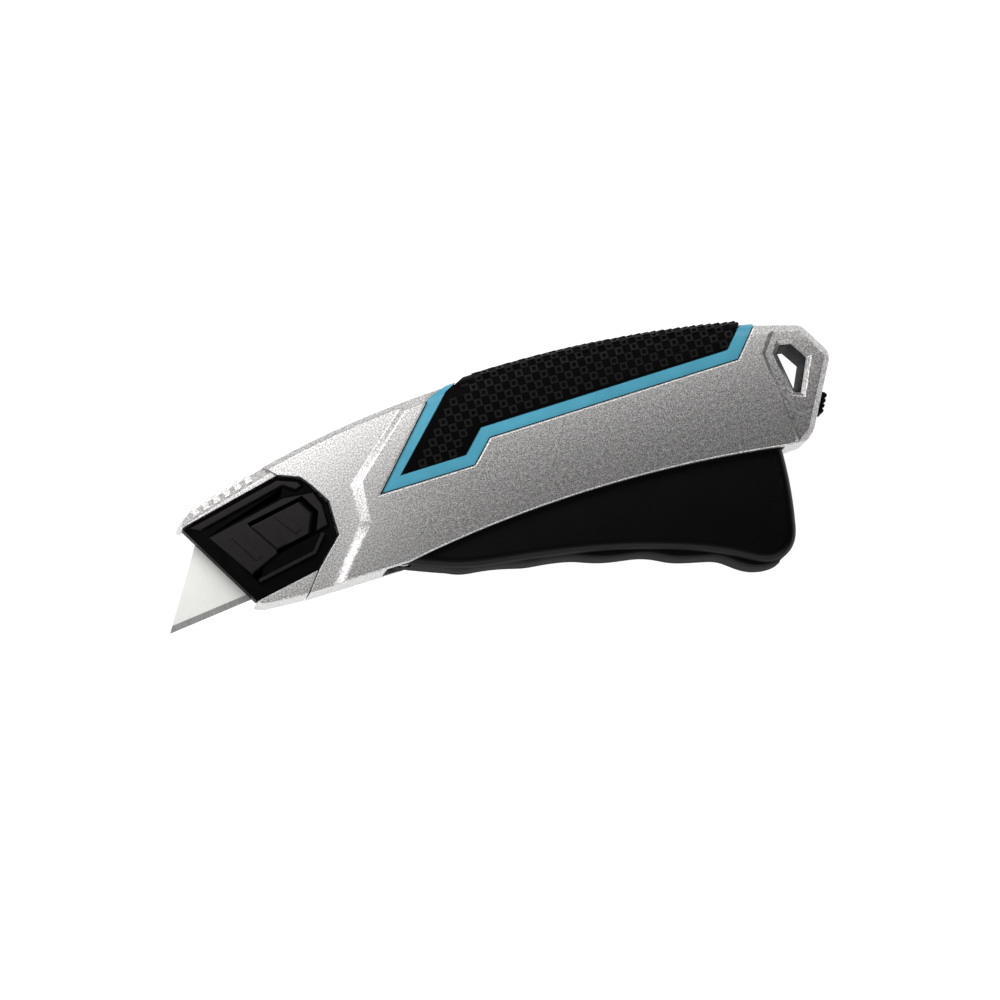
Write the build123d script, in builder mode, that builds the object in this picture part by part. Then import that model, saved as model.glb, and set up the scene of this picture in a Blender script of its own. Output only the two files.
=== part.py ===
from build123d import *
from math import asin, atan2, cos, degrees, hypot, radians, sin, tan
import os

# A squeeze-handle utility knife that draws its blade in when the lever is let go.
# It lies on its right side: +X runs to the tail, +Y to the spine, +Z up through the thickness.
# The origin is on the right side panel, in the middle of the handle. All sizes are in millimetres.

os.makedirs("parts", exist_ok=True)

# ---------------------------------------------------------------- driving dimensions
body_thickness = 18.0
mid_z = body_thickness / 2
nose_thickness = 14.0
nose_low_z = mid_z - nose_thickness / 2
nose_high_z = mid_z + nose_thickness / 2
front_step = 1.0
tail_step = 0.8
spine_bevel = 2.3
edge_bevel = 0.35

narrow_half = 5.5
wide_half = 7.0

underside_y = -13.8
seam_top = (-76.5, 17.2)
spine_break = (-54.0, 20.95)
spine_end = (42.6, 15.0)
spine_radius = 290
front_spine_radius = 250
tail_corner = (57.7, 3.6)
rear_foot = (48.2, -12.6)
underside_end = (41.2, -14.2)
arch_radius = 300
tail_round = 3.0

blade_length = 61.0
blade_height = 19.0
blade_thickness = 0.6
blade_tip_angle = 51.0
blade_tilt = 5.6
blade_tip = (-107.8, -12.5)
blade_stroke = 24.5

lever_pivot = (-51.0, -10.5)
lever_swing = 9.5
lever_rear_radius = 91.25
lever_half_width = 6.6
lever_wall = 1.6
pivot_pin_radius = 1.5

rocker_pivot = (-6.0, -8.0)
rocker_arm = 20.0
drive_pin_radius = 1.3
lever_pin_radius = 1.0

lock_travel = 3.5
lock_middle = 7.5
lock_plate_depth = 1.95

running_gap = 0.05

# ---------------------------------------------------------------- worked-out sizes
# The blade lies in its own frame: s runs along the cutting edge from the tip, t across it to the back.
blade_plane = Plane(
    origin=(blade_tip[0], blade_tip[1], 0),
    x_dir=(cos(radians(blade_tilt)), sin(radians(blade_tilt)), 0),
    z_dir=(0, 0, 1),
)
rocker_st = blade_plane.to_local_coords(Vector(*rocker_pivot, 0))
rocker_half_swing = degrees(asin(blade_stroke / 2 / rocker_arm))
rocker_swing = 2 * rocker_half_swing
crank_reach = hypot(rocker_pivot[0] - lever_pivot[0], rocker_pivot[1] - lever_pivot[1])
short_arm = 0.5 * radians(lever_swing) * (crank_reach + 7.0) / sin(radians(rocker_half_swing))

blade_back_inset = blade_height / tan(radians(blade_tip_angle))
blade_floor_z = mid_z - blade_thickness / 2 - 0.1
chassis_low_z = 4.6
chassis_high_z = 5.4
carriage_low_z = 5.6
rocker_low_z = 11.0
rocker_high_z = 13.0

rear_length = hypot(tail_corner[0] - rear_foot[0], tail_corner[1] - rear_foot[1])
rear_plane = Plane(
    origin=(rear_foot[0], rear_foot[1], 0),
    x_dir=((tail_corner[0] - rear_foot[0]) / rear_length, (tail_corner[1] - rear_foot[1]) / rear_length, 0),
    z_dir=(0, 0, 1),
)


standing = (Align.CENTER, Align.CENTER, Align.MIN)


def level(plane, height):
    """The same plane, raised along Z."""
    return Plane(origin=plane.origin + Vector(0, 0, height), x_dir=plane.x_dir, z_dir=plane.z_dir)


def save(builder, name):
    """Label the finished piece and write it as its own STEP file."""
    builder.part.label = name
    export_step(builder.part, f"parts/{name}.step")


# ---------------------------------------------------------------- shared outlines
cover_rear = [(-74.0, 14.4), (-69.0, 12.4), (-67.1, 9.9), (-64.3, 5.1), (-64.5, -3.0), (-71.1, -9.1)]
chin_seam_foot = (-75.0, underside_y)

with BuildSketch() as casing_outline:
    with BuildLine():
        RadiusArc(seam_top, spine_break, front_spine_radius)
        RadiusArc(spine_break, spine_end, spine_radius)
        Polyline(spine_end, (53.1, 11.85), tail_corner, rear_foot, (46.0, -14.2), underside_end)
        RadiusArc(underside_end, (-51.0, underside_y), -arch_radius)
        Polyline((-51.0, underside_y), chin_seam_foot, *reversed(cover_rear), seam_top)
    make_face()
    fillet(casing_outline.vertices().filter_by(lambda corner: corner.X > 47), radius=tail_round)

# The zigzag ridge between the raised handle panel and the lower front panel.
ridge_foot = [(-33.0, 28.1), (-58.7, 7.1), (-59.2, -1.7), (-73.0, -17.4)]
ridge_top = [(-31.6, 28.0), (-55.6, 7.3), (-56.6, -2.8), (-69.6, -17.4)]
front_reach = [(-120.0, -17.4), (-120.0, 28.0)]

# The knee line of the lowered tail panel.
tail_knee_top = [(48.9, 17.0), (41.9, 7.9), (43.7, -18.0)]
tail_knee_foot = [(49.9, 17.0), (42.8, 7.9), (44.3, -18.0)]
tail_reach = [(70.0, -18.0), (70.0, 17.0)]

stripe_region = [
    (-24.5, 26.0),
    (-29.6, 23.0),
    (-35.2, 20.9),
    (-52.7, 2.95),
    (-29.8, 2.95),
    (-24.5, 8.0),
    (36.2, 8.3),
    (42.4, 15.1),
    (42.4, 26.0),
]
rubber_region = [
    (-20.9, 26.0),
    (-25.9, 23.8),
    (-31.0, 21.2),
    (-47.0, 5.75),
    (-30.9, 5.75),
    (-25.7, 10.8),
    (34.6, 11.1),
    (39.6, 16.4),
    (39.6, 26.0),
]

lanyard_rim = [(46.4, 10.0), (50.0, 9.2), (53.0, 4.3), (48.6, -4.5), (45.7, -3.2), (44.4, 7.2)]
rim_bevel = 1.2
liner_wall = 0.7


def saddle_block(region, front_lift, rear_lift, side_inset, spine_round):
    """The block that a region holds under a raised spine, with the spine's two long edges rounded."""
    with BuildPart() as block:
        with BuildSketch(Plane.XY.offset(side_inset)):
            with BuildLine():
                front = (spine_break[0], spine_break[1] + front_lift)
                rear = (spine_end[0], spine_end[1] + rear_lift)
                RadiusArc(front, rear, spine_radius)
                Polyline(rear, (spine_end[0], 0), (spine_break[0], 0), front)
            make_face()
            Polygon(*region, align=None, mode=Mode.INTERSECT)
        extrude(amount=body_thickness - 2 * side_inset)
        fillet(block.edges().filter_by(GeomType.CIRCLE).sort_by(SortBy.LENGTH)[-2:], radius=spine_round)
    return block.part


cutter_lift = 9.0
stripe_outer = saddle_block(stripe_region, 0.35, 0.5, 0.3, 3.2)
stripe_core = saddle_block(stripe_region, -1.0, -0.8, 1.6, 2.2)
stripe_cutter = saddle_block(stripe_region, cutter_lift, cutter_lift, 0.0, 0.1)
rubber_outer = saddle_block(rubber_region, 1.3, 1.7, 0.05, 4.5)
rubber_core = saddle_block(rubber_region, -0.3, -0.1, 1.0, 3.4)
rubber_cutter = saddle_block(rubber_region, cutter_lift, cutter_lift, 0.0, 0.1)

# ---------------------------------------------------------------- left casing
casing_screws_at = [(-62.0, 14.9), (-60.5, -10.6), (18.0, 12.5)]
nose_pins_at = [(-71.6, 15.8), (-71.2, -11.9)]
track_screws_at = [(-33.0, 4.0), (28.0, 11.6)]
nose_pin_radius = 0.7
screw_radius = 1.0
screw_clearance_radius = 1.35
screw_head_radius = 2.2
screw_well_radius = 2.4
screw_well_depth = 3.0
track_screw_radius = 0.9
lever_bay = [(-56.2, -30.0), (-56.2, -5.4), (36.0, 7.6), (60.0, 7.6), (60.0, -30.0)]

with BuildPart() as left_casing:
    with BuildSketch(Plane.XY.offset(mid_z)):
        add(casing_outline.sketch)
    extrude(amount=body_thickness - mid_z)
    rim = left_casing.faces().sort_by(Axis.Z)[-1].edges()
    spine_rim = rim.filter_by(lambda edge: edge.center().Y > 14.8 and edge.center().X > -74.9)
    tail_rim = rim.filter_by(lambda edge: edge.center().X > 43.8 and edge.center().Y < 14.8)
    chamfer(spine_rim + tail_rim, length=spine_bevel)
    rim = left_casing.faces().sort_by(Axis.Z)[-1].edges()
    chamfer(rim.filter_by(lambda edge: edge.center().Y < -9 and edge.center().X < 43.8), length=edge_bevel)
    # lowered front panel, with the sloped face of the zigzag ridge
    with BuildSketch(Plane.XY.offset(body_thickness - front_step)):
        Polygon(*ridge_foot, *front_reach, align=None)
    with BuildSketch(Plane.XY.offset(body_thickness)):
        Polygon(*ridge_top, *front_reach, align=None)
    loft(ruled=True, mode=Mode.SUBTRACT)
    # lowered tail panel
    with BuildSketch(Plane.XY.offset(body_thickness - tail_step)):
        Polygon(*tail_knee_foot, *tail_reach, align=None)
    with BuildSketch(Plane.XY.offset(body_thickness)):
        Polygon(*tail_knee_top, *tail_reach, align=None)
    loft(ruled=True, mode=Mode.SUBTRACT)
    # room for the carriage and its track
    with BuildSketch(level(blade_plane, mid_z)):
        Polygon((20, 1.0), (20, 19.8), (75, 19.8), (58, 1.0), align=None)
    extrude(amount=narrow_half, mode=Mode.SUBTRACT)
    with BuildSketch(Plane.XY.offset(mid_z)):
        Polygon(
            (-56.2, -7.2),
            (-36.0, 14.4),
            (-20.0, 17.7),
            (10.0, 18.1),
            (30.0, 15.4),
            (37.0, 13.0),
            (38.0, -4.0),
            (-50.0, -16.0),
            align=None,
        )
    extrude(amount=narrow_half, mode=Mode.SUBTRACT)
    # lever bay, open below
    with BuildSketch(Plane.XY.offset(mid_z)):
        with Locations(lever_pivot):
            Circle(lever_rear_radius + 0.45)
        Polygon(*lever_bay, align=None, mode=Mode.INTERSECT)
    extrude(amount=wide_half, mode=Mode.SUBTRACT)
    # grip recess
    add(stripe_cutter - stripe_core, mode=Mode.SUBTRACT)
    # slit for the blade
    with BuildSketch(level(blade_plane, mid_z)):
        Polygon((-5, -0.8), (92, -0.8), (92, 19.8), (-5, 19.8), align=None)
    extrude(amount=0.8, mode=Mode.SUBTRACT)
    # lanyard opening, its bevel and the seat of its liner
    with BuildSketch(Plane.XY.offset(mid_z)):
        Polygon(*lanyard_rim, align=None)
        offset(amount=-(rim_bevel - liner_wall), kind=Kind.INTERSECTION)
    extrude(amount=nose_high_z - mid_z, mode=Mode.SUBTRACT)
    with BuildSketch(Plane.XY.offset(nose_high_z)):
        Polygon(*lanyard_rim, align=None)
        offset(amount=-rim_bevel, kind=Kind.INTERSECTION)
    with BuildSketch(Plane.XY.offset(body_thickness - tail_step)):
        Polygon(*lanyard_rim, align=None)
    loft(ruled=True, mode=Mode.SUBTRACT)
    # room and slot for the lock slider
    with BuildSketch(Plane.XY.offset(mid_z)):
        Polygon(
            (39.0, -12.95),
            (46.4, -12.95),
            (50.6, -4.9),
            (46.0, -5.3),
            (42.0, -6.6),
            (39.0, -6.6),
            align=None,
        )
    extrude(amount=3.0, mode=Mode.SUBTRACT)
    with BuildSketch(level(rear_plane, mid_z)):
        with Locations((lock_middle - lock_travel / 2, 0)):
            Rectangle(lock_travel + 3.4, 4.2)
    extrude(amount=2.2, mode=Mode.SUBTRACT)
    # screw boss inside the spine
    with Locations((casing_screws_at[2][0], casing_screws_at[2][1], mid_z)):
        Cylinder(2.8, narrow_half + 0.2, align=standing)
    with Locations(*[(x, y, mid_z) for x, y in casing_screws_at]):
        Cylinder(screw_radius, 5.6, align=standing, mode=Mode.SUBTRACT)
    with Locations((lever_pivot[0], lever_pivot[1], mid_z)):
        Cylinder(pivot_pin_radius, 8.0, align=standing, mode=Mode.SUBTRACT)
    with Locations(*[(x, y, mid_z) for x, y in nose_pins_at]):
        Cylinder(nose_pin_radius, 6.0, align=standing, mode=Mode.SUBTRACT)
    # pockets for the tongues of the nose pieces
    with BuildSketch(Plane.XY.offset(mid_z)):
        Polygon((-78.0, 14.2), (-68.8, 14.2), (-68.8, 17.3), (-78.0, 17.3), align=None)
        Polygon((-78.0, -13.0), (-68.8, -13.0), (-68.8, -10.6), (-78.0, -10.6), align=None)
    extrude(amount=4.1, mode=Mode.SUBTRACT)

# ---------------------------------------------------------------- right casing
with BuildPart() as right_casing:
    add(left_casing.part)
    mirror(about=Plane.XY.offset(mid_z), mode=Mode.REPLACE)
    for x, y in casing_screws_at:
        with Locations((x, y, 0)):
            Cylinder(screw_clearance_radius, mid_z, align=standing, mode=Mode.SUBTRACT)
            Cylinder(screw_well_radius, screw_well_depth, align=standing, mode=Mode.SUBTRACT)
    for x, y in track_screws_at:
        with Locations((x, y, 2.8)):
            Cylinder(2.6, chassis_low_z - 2.8, align=standing)
        with Locations((x, y, 2.4)):
            Cylinder(track_screw_radius, 4.0, align=standing, mode=Mode.SUBTRACT)

save(left_casing, "left_casing")
save(right_casing, "right_casing")

# ---------------------------------------------------------------- grip
with BuildPart() as grip_carrier:
    add(stripe_outer)
    add(stripe_core, mode=Mode.SUBTRACT)
    add(rubber_cutter - rubber_core, mode=Mode.SUBTRACT)
save(grip_carrier, "grip_carrier")

with BuildPart() as grip_pad:
    add(rubber_outer)
    add(rubber_core, mode=Mode.SUBTRACT)
save(grip_pad, "grip_pad")

# ---------------------------------------------------------------- nose pieces
rib_count = 6
rib_pitch = 2.87
first_rib = (-94.6, 12.55)
rib_outline = [(-0.9, -2.4), (0.9, -2.4), (0.75, 0.25), (0.35, 0.6), (-0.35, 0.6), (-0.75, 0.25)]
rib_width = 12.6
thumb_bevel = 2.1
thumb_front = (-95.5, 12.35)
thumb_slope = degrees(atan2(seam_top[1] - thumb_front[1], seam_top[0] - thumb_front[0]))

with BuildPart() as thumb_rest:
    with BuildSketch(Plane.XY.offset(nose_low_z)):
        Polygon((-98.9, 9.9), (-98.2, 9.3), cover_rear[0], seam_top, thumb_front, (-98.2, 10.8), align=None)
    extrude(amount=nose_thickness)
    long_edges = thumb_rest.edges().filter_by(lambda edge: edge.center().Y > 14 and edge.length > 15)
    chamfer(long_edges, length=thumb_bevel)
    tip_edges = thumb_rest.faces().sort_by(Axis.X)[0].edges().filter_by(Axis.Z, reverse=True)
    chamfer(tip_edges, length=0.6)
    for rib in range(rib_count):
        rib_x = first_rib[0] + rib * rib_pitch * cos(radians(thumb_slope))
        rib_y = first_rib[1] + rib * rib_pitch * sin(radians(thumb_slope))
        with BuildSketch(Plane.XY.offset(mid_z - rib_width / 2)):
            with Locations(Location((rib_x, rib_y), thumb_slope)):
                Polygon(*rib_outline, align=None)
        extrude(amount=rib_width)
    with BuildSketch(Plane.XY.offset(mid_z - 3.8)):
        Polygon((-77.5, 14.5), (-69.2, 14.5), (-69.2, 17.0), (-77.5, 16.6), align=None)
    extrude(amount=7.6)
    with Locations((*nose_pins_at[0], mid_z)):
        Cylinder(nose_pin_radius, 10, mode=Mode.SUBTRACT)
save(thumb_rest, "thumb_rest")

with BuildPart() as chin_guard:
    with BuildSketch(Plane.XY.offset(nose_low_z)):
        Polygon((-87.0, -12.0), (-71.5, -9.25), (-75.4, -13.8), (-84.4, -13.15), (-86.1, -12.7), align=None)
    extrude(amount=nose_thickness)
    under_edges = chin_guard.edges().filter_by(lambda edge: edge.center().Y < -13 and edge.length < 12)
    chamfer(under_edges.filter_by(Axis.Z, reverse=True), length=edge_bevel)
    with BuildSketch(Plane.XY.offset(mid_z - 3.8)):
        Polygon((-76.0, -12.8), (-69.2, -12.8), (-69.2, -10.8), (-76.0, -10.8), align=None)
    extrude(amount=7.6)
    with Locations((*nose_pins_at[1], mid_z)):
        Cylinder(nose_pin_radius, 10, mode=Mode.SUBTRACT)
    with BuildSketch(level(blade_plane, mid_z - 0.8)):
        Polygon((-5, -0.8), (60, -0.8), (60, 10), (-5, 10), align=None)
    extrude(amount=1.6, mode=Mode.SUBTRACT)
save(chin_guard, "chin_guard")

with BuildPart() as nose_pins:
    with Locations(*[(x, y, mid_z) for x, y in nose_pins_at]):
        Cylinder(nose_pin_radius, 11.6)
save(nose_pins, "nose_pins")

# ---------------------------------------------------------------- blade covers
cover_outline = [(-98.6, 9.2), *cover_rear, (-87.1, -11.95)]
cover_low_z = mid_z + 0.7
cover_floor_z = 13.7
cover_base_z = nose_high_z - 1.1
cover_wall_z = 11.9
tongue_outline = [(-83.3, 4.95), (-70.3, 7.2), (-68.3, 3.7), (-70.2, -0.35), (-79.1, -1.95)]
slot_outline = [
    (-83.45, 4.9),
    (-83.75, 5.9),
    (-69.8, 8.2),
    (-67.3, 3.7),
    (-69.4, -1.2),
    (-79.4, -2.85),
    (-79.25, -1.95),
]
cover_panel = [
    (-93.6, 5.6),
    (-74.2, 9.4),
    (-66.9, 8.6),
    (-65.6, 5.0),
    (-65.8, -0.2),
    (-79.0, -3.1),
    (-86.3, -6.0),
]
cover_brow = [
    (-97.4, 8.95),
    (-74.2, 13.75),
    (-69.6, 11.95),
    (-68.6, 10.3),
    (-70.9, 9.6),
    (-73.4, 11.5),
    (-94.4, 7.15),
]
panel_rib = [(-88.4, 3.9), (-86.2, 4.0), (-82.8, -2.4), (-84.4, -3.0)]
root_rib = [(-82.9, 4.7), (-80.9, 4.9), (-76.9, -1.3), (-79.0, -1.7)]
end_rib = [(-77.7, 5.7), (-75.7, 6.1), (-72.2, 1.0), (-73.9, 0.3)]
lower_ridge = [(-85.2, -7.6), (-71.0, -5.1), (-67.8, -1.4)]
rib_height = 0.35
relief_slope_width = 0.55
front_cut = 1.3

with BuildPart() as left_blade_cover:
    with BuildSketch(Plane.XY.offset(cover_low_z)):
        Polygon(*cover_outline, align=None)
        offset(amount=-0.25, kind=Kind.INTERSECTION)
    extrude(amount=cover_base_z - cover_low_z)
    with BuildSketch(Plane.XY.offset(cover_low_z)):
        Polygon(*cover_outline, align=None)
        offset(amount=-1.6, kind=Kind.INTERSECTION)
    extrude(amount=cover_floor_z - cover_low_z, mode=Mode.SUBTRACT)
    with BuildSketch(Plane.XY.offset(cover_wall_z)):
        Polygon(*cover_outline, align=None)
        offset(amount=-1.5, kind=Kind.INTERSECTION)
    extrude(amount=0.5)
    base_rim = left_blade_cover.faces().sort_by(Axis.Z)[-1].edges()
    front_face = left_blade_cover.faces().sort_by(Axis.X)[0]
    chamfer(base_rim.sort_by(Axis.X)[0], length=1.1, length2=2.4, reference=front_face)
    for raised in (cover_panel, cover_brow):
        with BuildSketch(Plane.XY.offset(cover_base_z)):
            Polygon(*raised, align=None)
        with BuildSketch(Plane.XY.offset(nose_high_z)):
            Polygon(*raised, align=None)
            offset(amount=-relief_slope_width, kind=Kind.INTERSECTION)
        loft(ruled=True)
    with BuildSketch(Plane.XY.offset(cover_base_z)):
        with BuildLine():
            Polyline(*lower_ridge)
        trace(line_width=0.8)
    extrude(amount=nose_high_z - cover_base_z)
    with BuildSketch(Plane.XY.offset(nose_high_z)):
        Polygon(*panel_rib, align=None)
    extrude(amount=rib_height)
    whole_cover = left_blade_cover.part
    with BuildSketch(Plane.XY.offset(cover_floor_z - 1)):
        Polygon(*slot_outline, align=None)
    extrude(amount=5, mode=Mode.SUBTRACT)
save(left_blade_cover, "left_blade_cover")

with BuildPart() as cover_latch:
    with BuildSketch(Plane.XY.offset(cover_floor_z)):
        Polygon(*tongue_outline, align=None)
    extrude(amount=nose_high_z - cover_floor_z)
    tongue_rim = cover_latch.faces().sort_by(Axis.Z)[-1].edges()
    chamfer(tongue_rim.filter_by(lambda edge: edge.center().X > -70), length=0.9)
    with BuildSketch(Plane.XY.offset(nose_high_z)):
        Polygon(*root_rib, align=None)
        Polygon(*end_rib, align=None)
    extrude(amount=rib_height)
save(cover_latch, "cover_latch")

with BuildPart() as right_blade_cover:
    add(whole_cover)
    with BuildSketch(Plane.XY.offset(nose_high_z)):
        Polygon(*root_rib, align=None)
        Polygon(*end_rib, align=None)
    extrude(amount=rib_height)
    split(bisect_by=Plane.XY.offset(cover_floor_z), keep=Keep.TOP)
    front_direction = Vector(*cover_outline[-1]) - Vector(*cover_outline[0])
    front_plane = Plane(origin=(*cover_outline[0], 0), x_dir=front_direction, z_dir=(0, 0, 1))
    with BuildSketch(front_plane):
        Rectangle(70, 2 * front_cut)
    extrude(amount=body_thickness, mode=Mode.SUBTRACT)
    mirror(about=Plane.XY.offset(mid_z), mode=Mode.REPLACE)
save(right_blade_cover, "right_blade_cover")

# ---------------------------------------------------------------- blade and its carriage
notch_offset = 4.0
notch_width = 2.8
notch_depth = 2.6
edge_bevel_width = 1.45
notch_s = [blade_length / 2 - notch_offset, blade_length / 2 + notch_offset]
section_plane = Plane(
    origin=blade_plane.from_local_coords(Vector(-1, 0, mid_z)),
    x_dir=blade_plane.y_dir,
    z_dir=blade_plane.x_dir,
)

with BuildPart() as cutting_blade:
    with BuildSketch(level(blade_plane, mid_z - blade_thickness / 2)):
        Polygon(
            (0, 0),
            (blade_length, 0),
            (blade_length - blade_back_inset, blade_height),
            (blade_back_inset, blade_height),
            align=None,
        )
        with Locations(*[(s, blade_height - notch_depth / 2) for s in notch_s]):
            Rectangle(notch_width, notch_depth, mode=Mode.SUBTRACT)
    extrude(amount=blade_thickness)
    with BuildSketch(section_plane):
        Polygon(
            (0, 0.02),
            (edge_bevel_width, blade_thickness / 2),
            (blade_height + 1, blade_thickness / 2),
            (blade_height + 1, -blade_thickness / 2),
            (edge_bevel_width, -blade_thickness / 2),
            (0, -0.02),
            align=None,
        )
    extrude(amount=blade_length + 2, mode=Mode.INTERSECT)
save(cutting_blade, "cutting_blade")

carriage_front = 24.0
carriage_rear = 94.0
carriage_foot = 3.0
carriage_back = 18.2
drive_slot_s = rocker_st.X - blade_stroke / 2
drive_slot_low = rocker_st.Y + rocker_arm * cos(radians(rocker_half_swing)) - 1.6
drive_slot_high = rocker_st.Y + rocker_arm + 1.6
magnet_at = (44.0, 8.5)

with BuildPart() as blade_carriage:
    with BuildSketch(level(blade_plane, carriage_low_z)):
        Polygon(
            (carriage_front + 3, carriage_foot),
            (carriage_rear, carriage_foot),
            (carriage_rear, carriage_back),
            (carriage_front, carriage_back),
            (carriage_front, carriage_foot + 4),
            align=None,
        )
        with Locations((drive_slot_s, (drive_slot_low + drive_slot_high) / 2)):
            Rectangle(3.7, drive_slot_high - drive_slot_low, mode=Mode.SUBTRACT)
        with Locations((66.0, 10.5), (76.0, 10.5)):
            SlotOverall(9.0, 5.0, rotation=90, mode=Mode.SUBTRACT)
    extrude(amount=blade_floor_z - carriage_low_z)
    with BuildSketch(level(blade_plane, blade_floor_z)):
        with Locations((notch_s[1], blade_height - notch_depth + 1.1)):
            Circle(1.0)
    extrude(amount=0.9)
    with BuildSketch(level(blade_plane, blade_floor_z)):
        with Locations(magnet_at):
            Circle(3.0)
    extrude(amount=-1.6, mode=Mode.SUBTRACT)
save(blade_carriage, "blade_carriage")

with BuildPart() as blade_magnet:
    with BuildSketch(level(blade_plane, blade_floor_z - 1.6)):
        with Locations(magnet_at):
            Circle(3.0)
    extrude(amount=1.6)
save(blade_magnet, "blade_magnet")

# ---------------------------------------------------------------- track that carries the works
stop_s = carriage_rear + blade_stroke + 2.0
spring_hook_s = 141.2
rocker_stud_radius = 1.5
bumper_radius = 1.3

with BuildPart() as carriage_track:
    with BuildSketch(level(blade_plane, chassis_low_z)):
        Polygon((22, 1.7), (stop_s + 1, 1.7), (stop_s + 1, 15.0), (108, 19.4), (22, 19.4), align=None)
    with BuildSketch(Plane.XY.offset(chassis_low_z)):
        Polygon((-13, 0), (1, 0), (-2.6, -10.6), (-9.4, -10.6), align=None)
        Polygon((8, 4.0), (35.8, 5.2), (35.8, 12.0), (24.0, 14.6), (8, 15.0), align=None)
        with Locations(rocker_pivot):
            Circle(4.3)
    extrude(amount=chassis_high_z - chassis_low_z)
    with BuildSketch(level(blade_plane, chassis_high_z)):
        Polygon((22, 1.7), (stop_s + 1, 1.7), (stop_s + 1, 2.5), (22, 2.5), align=None)
        Polygon((22, 18.6), (108, 18.6), (108, 19.4), (22, 19.4), align=None)
        with Locations((stop_s + 0.5, 12.5)):
            Rectangle(1.0, 4.0)
        with Locations((spring_hook_s + 0.5, 7.0)):
            Rectangle(1.0, 4.0)
    extrude(amount=3.0)
    with Locations((*casing_screws_at[2], chassis_low_z)):
        Cylinder(3.2, 5, mode=Mode.SUBTRACT)
    with Locations((*rocker_pivot, chassis_low_z)):
        Cylinder(rocker_stud_radius, 5, mode=Mode.SUBTRACT)
    with Locations(*[(x, y, chassis_high_z) for x, y in track_screws_at]):
        CounterSinkHole(radius=track_screw_radius, counter_sink_radius=1.6, depth=2)
save(carriage_track, "carriage_track")

with BuildPart() as track_screws:
    for x, y in track_screws_at:
        with Locations((x, y, 2.5)):
            Cylinder(track_screw_radius, chassis_high_z - 2.5, align=standing)
        with Locations((x, y, chassis_high_z)):
            Cone(track_screw_radius, 1.6, 0.7, align=(Align.CENTER, Align.CENTER, Align.MAX))
save(track_screws, "track_screws")

with BuildPart() as end_bumper:
    bumper_plane = Plane(
        origin=blade_plane.from_local_coords(Vector(stop_s, 12.5, 7.0)),
        x_dir=blade_plane.y_dir,
        z_dir=-blade_plane.x_dir,
    )
    with BuildSketch(bumper_plane):
        Circle(bumper_radius)
    extrude(amount=bumper_radius)
save(end_bumper, "end_bumper")

# ---------------------------------------------------------------- rocker that links lever and carriage
def turned(reach, angle):
    """The point this far from the rocker's pivot, in this direction."""
    return (rocker_pivot[0] + reach * cos(radians(angle)), rocker_pivot[1] + reach * sin(radians(angle)))


long_arm_angle = 90 + blade_tilt + rocker_half_swing
short_arm_angle = blade_tilt + rocker_half_swing
drive_pin_at = turned(rocker_arm, long_arm_angle)
lever_pin_at = turned(short_arm, short_arm_angle)

with BuildPart() as drive_rocker:
    with BuildSketch(Plane.XY.offset(rocker_low_z)):
        with Locations(rocker_pivot):
            Circle(4.0)
        with Locations(Location(turned(rocker_arm / 2, long_arm_angle), long_arm_angle)):
            SlotCenterToCenter(rocker_arm, 5.0)
        with Locations(Location(turned(short_arm / 2, short_arm_angle), short_arm_angle)):
            SlotCenterToCenter(short_arm, 4.4)
        with Locations(rocker_pivot):
            Circle(rocker_stud_radius + running_gap, mode=Mode.SUBTRACT)
        with Locations(drive_pin_at):
            Circle(drive_pin_radius, mode=Mode.SUBTRACT)
        with Locations(lever_pin_at):
            Circle(lever_pin_radius, mode=Mode.SUBTRACT)
    extrude(amount=rocker_high_z - rocker_low_z)
save(drive_rocker, "drive_rocker")

with BuildPart() as drive_pin:
    with Locations((*drive_pin_at, 5.9)):
        Cylinder(drive_pin_radius, rocker_high_z - 5.9, align=standing)
save(drive_pin, "drive_pin")

with BuildPart() as lever_link_pin:
    with Locations((*lever_pin_at, rocker_low_z)):
        Cylinder(lever_pin_radius, 15.4 - rocker_low_z, align=standing)
save(lever_link_pin, "lever_link_pin")

with BuildPart() as rocker_stud:
    with Locations((*rocker_pivot, chassis_low_z)):
        Cylinder(rocker_stud_radius, rocker_high_z + 0.5 - chassis_low_z, align=standing)
    with Locations((*rocker_pivot, chassis_high_z)):
        Cylinder(2.4, rocker_low_z - 0.1 - chassis_high_z, align=standing)
    with Locations((*rocker_pivot, rocker_high_z + 0.1)):
        Cylinder(2.6, 0.5, align=standing)
save(rocker_stud, "rocker_stud")

# ---------------------------------------------------------------- squeeze lever
lever_low_z = mid_z - lever_half_width
heel = (37.63, -32.2)
lever_back_top = (38.65, 6.5)
side_round = 2.5
crease_line = [
    (-51.6, -13.9),
    (-46.9, -15.9),
    (-40.5, -18.3),
    (-27.4, -20.8),
    (-15.8, -22.7),
    (-1.9, -25.8),
    (12.2, -30.4),
    (22.6, -35.2),
    (31.0, -38.5),
    (34.7, -37.1),
    heel,
]
# The gripping strip under the crease, with its swells between the fingers.
strip_width = 9.4
strip_round = 1.3
finger_line = [
    (-47.6, -15.0),
    (-45.9, -15.9),
    (-42.6, -17.7),
    (-39.2, -19.1),
    (-35.4, -19.7),
    (-31.7, -20.3),
    (-28.0, -21.2),
    (-24.5, -22.1),
    (-20.7, -22.6),
    (-16.9, -23.2),
    (-13.3, -24.1),
    (-9.9, -25.4),
    (-6.3, -26.5),
    (-2.6, -27.2),
    (1.1, -27.9),
    (4.6, -29.2),
    (7.9, -30.9),
    (11.5, -32.1),
    (15.1, -33.0),
    (18.7, -34.2),
    (21.8, -36.5),
    (25.1, -38.5),
    (28.4, -39.3),
    (31.4, -39.1),
]
strip_root = [(33.0, -36.6), (24.0, -33.9), (12.0, -28.6), (-2.0, -24.0), (-27.4, -18.9), (-46.0, -13.6)]
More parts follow.
